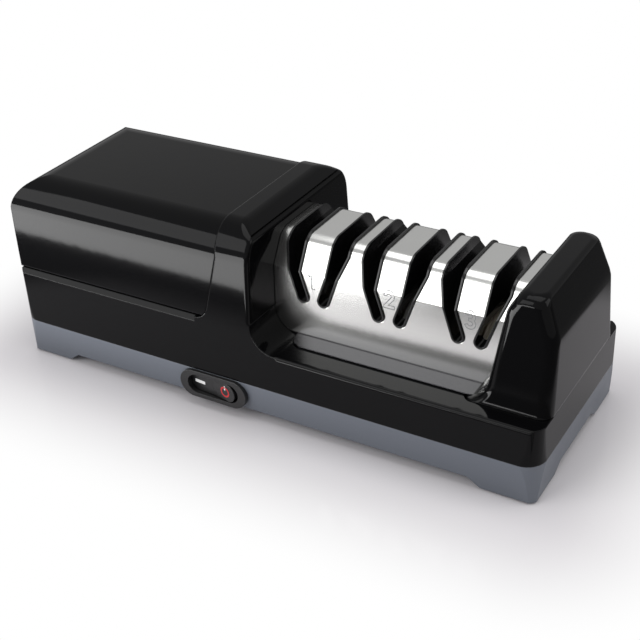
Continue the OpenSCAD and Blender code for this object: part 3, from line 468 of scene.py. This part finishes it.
class SHARPENER_OT_body(Operator):
    """Gloss-black shells and the grey base"""

    bl_idname = "sharpener.body"
    bl_label = "Body and base"

    def execute(self, context):
        look = context.scene.sharpener_body
        edge = look.edge / MM
        # Piano-black ABS from a polished mould: a very shallow waviness, about 6 mm long. What it mirrors is
        # faint against the deep black.
        black, shader = new_material("polished_black_abs", look.black, roughness=look.black_roughness)
        shader.inputs["Specular IOR Level"].default_value = 0.12
        tree = black.node_tree
        wave = node(tree, "ShaderNodeTexNoise", {"Vector": object_coords(tree), "Scale": 0.16, "Detail": 1})
        add_bump(tree, shader, wave.outputs["Fac"], 0.01, edge)
        dress(black, "gloss_black", "motor_cover")
        body_shell(black)
        end_wall(black)
        # Blue-grey ABS from a spark-eroded mould: a grain of about 0.5 mm.
        grey = moulded_plastic(
            "textured_grey_abs", look.grey, roughness=0.42, grain=0.5, depth=0.02, edge=edge
        )
        dress(grey, "base_plastic", "base_tray")
        # Black rubber from a plain mould: matt.
        rubber = moulded_plastic(
            "moulded_rubber", linear("#1d1d1f"), roughness=0.75, grain=0.4, depth=0.03, edge=0.3
        )
        pads = [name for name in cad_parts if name.startswith("foot_pad_")]
        dress(rubber, "foot_rubber", "cord_gland", "motor_mounts", "shaft_coupling", *pads)
        return {"FINISHED"}


class SHARPENER_OT_guide(Operator):
    """Stainless guide cover, slot liners and magnets"""

    bl_idname = "sharpener.guide"
    bl_label = "Guide cover"

    def execute(self, context):
        look = context.scene.sharpener_guide
        # Stainless sheet with a satin rolled along the body: about four fine marks to the millimetre.
        steel = metal(
            "satin_stainless_sheet", look.steel, look.steel_roughness,
            marks_per_mm=(0.02, 4, 4), depth=0.001, edge=0.5, anisotropy=0.4,
        )
        # The lip is painted darker than the satin: a painted reflection.
        self.paint_lip_reflection(steel.node_tree, look)
        dress(steel, "guide_steel", "guide_cover")
        # Smooth black plastic liners, from a plain mould.
        liner = moulded_plastic(
            "smooth_black_liner", look.liner, roughness=0.18, grain=1.5, depth=0.004, edge=0.3
        )
        dress(liner, "liner_plastic", *[f"guide_insert_{stage}" for stage in ("coarse", "fine", "polish")])
        # Nickel plate on the bar magnets: bright, with barely a mark.
        nickel = metal(
            "nickel_plate", linear("#b9bbbd"), roughness=0.16, marks_per_mm=(2, 2, 2), depth=0.001, edge=0.2
        )
        dress(nickel, "magnet", *[f"guide_magnet_{k}" for k in range(1, 7)])
        # Numbers etched into the steel: dark and dull.
        etched, _ = new_material("etched_marks", look.etched, roughness=0.6)
        for number, x in enumerate(STAGE_X, start=1):
            outline = digit_outline(number) * look.digit_h / MM / DIGIT_UNITS
            points, faces = ribbon(outline, look.digit_line / MM)
            self.number(f"stage_number_{number}", points, faces, x, etched)
        return {"FINISHED"}

    def paint_lip_reflection(self, tree, look):
        """Paints the lip darker than the satin below LIP_LOW_Z, blending back up to LIP_HIGH_Z: a painted
        reflection of what stands above it.
        """
        coords = node(tree, "ShaderNodeTexCoord").outputs["Object"]
        height = node(tree, "ShaderNodeSeparateXYZ", {0: coords}).outputs["Z"]
        limits = {"Value": height, "From Min": LIP_HIGH_Z * MM, "From Max": LIP_LOW_Z * MM}
        painted_reflection_share = node(tree, "ShaderNodeMapRange", limits).outputs["Result"]
        colours = {0: painted_reflection_share, 6: rgba(look.steel), 7: rgba(look.lip)}
        lip_reflection_tint = node(tree, "ShaderNodeMix", colours, data_type="RGBA").outputs[2]
        tree.links.new(lip_reflection_tint, tree.nodes["Principled BSDF"].inputs["Base Color"])

    def number(self, name, points, faces, x, mat):
        """Lays a flat shape on the guide cover: a point keeps its height and takes the depth of the steel.

        Below the bend that is BEND_Y + below*tan(FACE_LEAN), and above it BEND_Y - above/tan(BAND_SLOPE).
        """
        height = DIGIT_Z + points[:, 1]
        below = BEND_Z - height
        depth = BEND_Y + np.where(below > 0, below * math.tan(FACE_LEAN), below / math.tan(BAND_SLOPE))
        place = np.stack([x + points[:, 0], -depth - DIGIT_RISE, height], axis=1)
        piece = mesh_object(name, place * MM, faces, mat, smooth=False)
        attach(piece, "housing")


class SHARPENER_OT_switch(Operator):
    """Power switch"""

    bl_idname = "sharpener.switch"
    bl_label = "Power switch"

    def execute(self, context):
        look = context.scene.sharpener_switch
        # Black nylon from a finely eroded mould: satin.
        black = moulded_plastic(
            "satin_black_nylon", look.black, roughness=0.3, grain=0.6, depth=0.01, edge=0.5
        )
        dress(black, "switch_plastic", "switch_frame", "switch_rocker")
        # Brass strip, stamped: smooth and bright.
        brass = metal(
            "stamped_brass", linear("#c9a44d"), roughness=0.25, marks_per_mm=(1, 1, 1), depth=0.002, edge=0.1
        )
        dress(brass, "terminal_brass", "switch_terminals")
        # Marks pad-printed on the rocker: a white dash, and a red power ring with a white tick.
        white, _ = new_material("white_pad_print", look.mark, roughness=0.4)
        red, _ = new_material("red_pad_print", look.ring, roughness=0.4)
        dash = rectangle(-DASH_HALF_W, DASH_HALF_W, -DASH_HALF_H, DASH_HALF_H)
        self.mark("rocker_dash", dash, [range(4)], DASH_U, white)
        # The ribbon closes the ring itself, from 345 degrees back to 0.
        ring, faces = ribbon(arc((0, 0), RING_R, 0, 345, 28), RING_LINE)
        self.mark("rocker_ring", ring, faces, RING_U, red)
        tick = rectangle(-TICK_HALF_W, TICK_HALF_W, TICK_LOW, TICK_HIGH)
        self.mark("rocker_tick", tick, [range(4)], RING_U, white)
        return {"FINISHED"}

    def mark(self, name, points, faces, middle, mat):
        """Lays a flat shape on the leaning rocker, its middle some way from the rocker's own.

        At u from its middle the face stands ROCKER_DEPTH + ROCKER_DIP*|u|/ROCKER_DIP_REACH before the pivot.
        """
        u = middle + points[:, 0]
        depth = ROCKER_DEPTH + ROCKER_DIP * np.abs(u) / ROCKER_DIP_REACH + PRINT_RISE
        x = ROCKER_X + u * math.cos(ROCKER_LEAN) - depth * math.sin(ROCKER_LEAN)
        y = PIVOT_Y - u * math.sin(ROCKER_LEAN) - depth * math.cos(ROCKER_LEAN)
        place = np.stack([x, y, ROCKER_Z + points[:, 1]], axis=1)
        piece = mesh_object(name, place * MM, faces, mat, smooth=False)
        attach(piece, "rocker")


class SHARPENER_OT_inside(Operator):
    """Motor, spindle, discs and wiring"""

    bl_idname = "sharpener.inside"
    bl_label = "Inside"

    def execute(self, context):
        self.plastics()
        self.metals()
        self.motor()
        self.discs()
        return {"FINISHED"}

    def plastics(self):
        """The carrier, the fan, the bobbin and the wires' covers."""
        # Glass-filled nylon, moulded: short fibres show as a coarse grain.
        nylon = moulded_plastic(
            "glass_filled_nylon", linear("#2c2e31"), roughness=0.5, grain=0.8, depth=0.03, edge=0.4
        )
        dress(nylon, "inner_plastic", "spindle_carrier")
        # Undyed nylon, moulded: creamy, with a fine grain.
        natural = moulded_plastic(
            "natural_nylon", linear("#ddd8c8"), roughness=0.4, grain=0.8, depth=0.01, edge=0.3
        )
        dress(natural, "fan_plastic", "cooling_fan", "coil_bobbin")
        # PVC extruded over the wires: even and slightly shiny.
        wires = (("brown", "#6b3a26", "lead_live"), ("blue", "#27457a", "lead_neutral"))
        for name, hex_colour, lead in wires:
            cover = moulded_plastic(
                f"{name}_insulation", linear(hex_colour), roughness=0.35, grain=1.0, depth=0.005, edge=0
            )
            dress(cover, f"lead_{name}", lead)

    def metals(self):
        """The bearings, shafts, screws, springs and brackets."""
        # Sintered bronze: dull, with pores of about 0.2 mm.
        bronze = metal(
            "sintered_bronze", linear("#a8783f"), roughness=0.45,
            marks_per_mm=(5, 5, 5), depth=0.02, edge=0.2,
        )
        dress(bronze, "sintered_bronze", "left_bearing", "right_bearing", "rear_bush", "front_bush")
        # Ground steel, marked round the shafts: eight marks to the millimetre along them.
        ground = metal(
            "ground_steel", linear("#b4b7ba"), roughness=0.25,
            marks_per_mm=(8, 0.5, 0.5), depth=0.002, edge=0.2, anisotropy=0.3,
        )
        shafts = ("spindle", "spindle_clips", "motor_shaft")
        screws = ("motor_screws", "mount_screws", "base_screws")
        springs = [f"disc_spring_{stage}" for stage in ("coarse", "fine", "polish")]
        dress(ground, "plain_steel", *shafts, *screws, *springs)
        # Zinc, die-cast: a soft, mottled skin.
        zinc = metal(
            "cast_zinc", linear("#9ea1a5"), roughness=0.5, marks_per_mm=(1.5, 1.5, 1.5), depth=0.04, edge=0.4
        )
        dress(zinc, "cast_zinc", "rear_bracket", "front_bracket")

    def motor(self):
        """The laminations and the winding."""
        # Lacquered steel laminations 0.5 mm thick, stacked along the body. Their ridges are drawn 1 mm
        # apart, coarse enough to show.
        layers, shader = new_material(
            "lacquered_laminations", linear("#6d7075"), metallic=0.9, roughness=0.4
        )
        tree = layers.node_tree
        inputs = {"Vector": object_coords(tree), "Scale": 0.31, "Distortion": 0.2}
        ridges = node(tree, "ShaderNodeTexWave", inputs, bands_direction="X")
        add_bump(tree, shader, ridges.outputs["Fac"], 0.05)
        dress(layers, "laminated_steel", "stator_stack", "rotor_core")
        # Enamelled copper wire, 0.4 mm thick, wound round the bobbin. Its turns are drawn 0.8 mm apart,
        # coarse enough to show.
        copper, shader = new_material("wound_copper", linear("#b5632e"), metallic=1.0, roughness=0.3)
        tree = copper.node_tree
        inputs = {"Vector": object_coords(tree), "Scale": 0.4}
        turns = node(tree, "ShaderNodeTexWave", inputs, bands_direction="Y")
        add_bump(tree, shader, turns.outputs["Fac"], 0.15)
        dress(copper, "winding_copper", "motor_coil")

    def discs(self):
        """The three pairs of abrasive discs."""
        # Grit bonded to the discs: grains of 0.15 mm and 0.06 mm in nickel, and lumps of 0.3 mm in a pale
        # resin.
        for stage, hex_colour, grain, depth, roughness, metallic in (
            ("coarse", "#8b8a86", 0.15, 0.06, 0.55, 0.5),
            ("fine", "#9c9b98", 0.06, 0.03, 0.5, 0.5),
            ("polish", "#c7bfae", 0.3, 0.01, 0.4, 0.0),
        ):
            grit, shader = new_material(
                f"{stage}_grit", linear(hex_colour), metallic=metallic, roughness=roughness
            )
            tree = grit.node_tree
            grains = node(tree, "ShaderNodeTexVoronoi", {"Vector": object_coords(tree), "Scale": 1 / grain})
            add_bump(tree, shader, grains.outputs["Distance"], depth)
            dress(grit, f"abrasive_{stage}", f"{stage}_disc_left", f"{stage}_disc_right")


# ---------------------------------------------------------------- stage


def camera_axes(azimuth, elevation, roll):
    """Right, up and back of a camera that looks at the object from an azimuth and elevation, in degrees."""
    a, e, r = (math.radians(v) for v in (azimuth, elevation, roll))
    back = Vector((math.sin(a) * math.cos(e), -math.cos(a) * math.cos(e), math.sin(e)))
    right = Vector((0, 0, 1)).cross(back).normalized()
    up = back.cross(right)
    return right * math.cos(r) + up * math.sin(r), up * math.cos(r) - right * math.sin(r), back


class SHARPENER_OT_stage(Operator):
    """Camera, table and lights"""

    bl_idname = "sharpener.stage"
    bl_label = "Stage"

    def execute(self, context):
        look = context.scene.sharpener_stage
        scene = context.scene
        self.camera(scene, look)
        self.floor(look)
        for lamp in LAMPS:
            self.lamp(scene, *lamp)
        self.world(scene)
        scene.view_settings.view_transform = "Standard"
        return {"FINISHED"}

    def camera(self, scene, look):
        """The camera of the main picture."""
        right, up, back = camera_axes(*CAMERA_TURN)
        place = Vector(CAMERA_AIM) + back * CAMERA_BACK + right * CAMERA_RIGHT + up * CAMERA_UP
        data = bpy.data.cameras.new("camera")
        data.lens = look.lens
        data.sensor_width = 36
        data.clip_start = 0.01
        camera = bpy.data.objects.new("camera", data)
        rows = [[right[i], up[i], back[i], place[i]] for i in range(3)]
        camera.matrix_world = Matrix(rows + [[0, 0, 0, 1]])
        scene.collection.objects.link(camera)
        scene.camera = camera

    def floor(self, look):
        """Pale laminate with a slight sheen. To the camera it fades to white away from the object."""
        mat, shader = new_material("pale_table_laminate", look.floor, roughness=0.1)
        shader.inputs["Specular IOR Level"].default_value = 0.2
        tree = mat.node_tree
        rays = node(tree, "ShaderNodeLightPath")
        # The distance beyond the object's footprint.
        beyond = node(tree, "ShaderNodeTexCoord").outputs["Object"]
        steps = (("ABSOLUTE", {}), ("SUBTRACT", {1: FOOTPRINT}), ("MAXIMUM", {1: (0, 0, 0)}))
        for operation, other in steps:
            beyond = node(tree, "ShaderNodeVectorMath", {0: beyond, **other}, operation=operation).outputs[0]
        beyond = node(tree, "ShaderNodeVectorMath", {0: beyond}, operation="LENGTH").outputs["Value"]
        # The camera sees white there, and the gloss of the object sees the dark of the studio.
        shown = shader.outputs[0]
        for ray, near, far, strength in (
            ("Is Camera Ray", FADE_NEAR, FADE_FAR, SKY_SEEN),
            ("Is Glossy Ray", DARK_NEAR, DARK_FAR, DARK_STRENGTH),
        ):
            limits = {"Value": beyond, "From Min": near, "From Max": far}
            fade = node(tree, "ShaderNodeMapRange", limits, interpolation_type="SMOOTHSTEP")
            factors = {0: fade.outputs["Result"], 1: rays.outputs[ray]}
            share = node(tree, "ShaderNodeMath", factors, operation="MULTIPLY").outputs[0]
            glow = node(tree, "ShaderNodeEmission", {"Color": WHITE, "Strength": strength}).outputs[0]
            shown = node(tree, "ShaderNodeMixShader", {0: share, 1: shown, 2: glow}).outputs[0]
        tree.links.new(shown, tree.nodes["Material Output"].inputs["Surface"])
        corners = [(x * FLOOR_HALF, y * FLOOR_HALF, 0) for x, y in ((-1, -1), (1, -1), (1, 1), (-1, 1))]
        mesh_object("floor", corners, [range(4)], mat, smooth=False)

    def lamp(self, scene, name, place, aim, size, brightness):
        """A soft lamp that the camera doesn't see."""
        light = bpy.data.lights.new(name, "AREA")
        light.shape = "RECTANGLE"
        light.size, light.size_y = size
        light.energy = brightness * size[0] * size[1] * math.pi
        lamp = bpy.data.objects.new(name, light)
        lamp.location = place
        lamp.rotation_mode = "QUATERNION"
        lamp.rotation_quaternion = (Vector(place) - Vector(aim)).to_track_quat("Z", "Y")
        lamp.visible_camera = False
        scene.collection.objects.link(lamp)

    def world(self, scene):
        """The white surroundings. They light the object less than they show."""
        world = bpy.data.worlds.new("studio")
        scene.world = world
        world.use_nodes = True
        tree = world.node_tree
        tree.nodes.clear()
        seen = node(tree, "ShaderNodeBackground", {"Color": WHITE, "Strength": SKY_SEEN}).outputs[0]
        lit = node(tree, "ShaderNodeBackground", {"Color": WHITE, "Strength": SKY_LIGHT}).outputs[0]
        to_camera = node(tree, "ShaderNodeLightPath").outputs["Is Camera Ray"]
        mix = node(tree, "ShaderNodeMixShader", {0: to_camera, 1: lit, 2: seen}).outputs[0]
        node(tree, "ShaderNodeOutputWorld", {"Surface": mix})


# ---------------------------------------------------------------- add-on


class SHARPENER_PT_panel(Panel):
    """The sharpener's sizes, colours and pieces"""

    bl_label = "Knife sharpener"
    bl_idname = "SHARPENER_PT_panel"
    bl_space_type = "VIEW_3D"
    bl_region_type = "UI"
    bl_category = "Sharpener"

    def draw(self, context):
        for key, group in GROUPS.items():
            box = self.layout.box()
            box.label(text=key.replace("sharpener_", "").capitalize())
            for name in group.__annotations__:
                box.prop(getattr(context.scene, key), name)
        for operator in OPERATORS:
            self.layout.operator(operator.bl_idname)


GROUPS = {
    "sharpener_body": SHARPENER_PG_body,
    "sharpener_guide": SHARPENER_PG_guide,
    "sharpener_switch": SHARPENER_PG_switch,
    "sharpener_stage": SHARPENER_PG_stage,
}
OPERATORS = (
    SHARPENER_OT_body,
    SHARPENER_OT_guide,
    SHARPENER_OT_switch,
    SHARPENER_OT_inside,
    SHARPENER_OT_stage,
)
CLASSES = (*GROUPS.values(), *OPERATORS, SHARPENER_PT_panel)


def register():
    """Registers the classes and gives the scene their settings."""
    for cls in CLASSES:
        bpy.utils.register_class(cls)
    for key, group in GROUPS.items():
        setattr(bpy.types.Scene, key, PointerProperty(type=group))


def unregister():
    """Takes the settings and the classes away again."""
    for key in GROUPS:
        delattr(bpy.types.Scene, key)
    for cls in reversed(CLASSES):
        bpy.utils.unregister_class(cls)


def main():
    """Dresses the object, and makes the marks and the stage."""
    register()
    for operator in OPERATORS:
        space, name = operator.bl_idname.split(".")
        getattr(getattr(bpy.ops, space), name)()


if __name__ == "__main__":
    main()
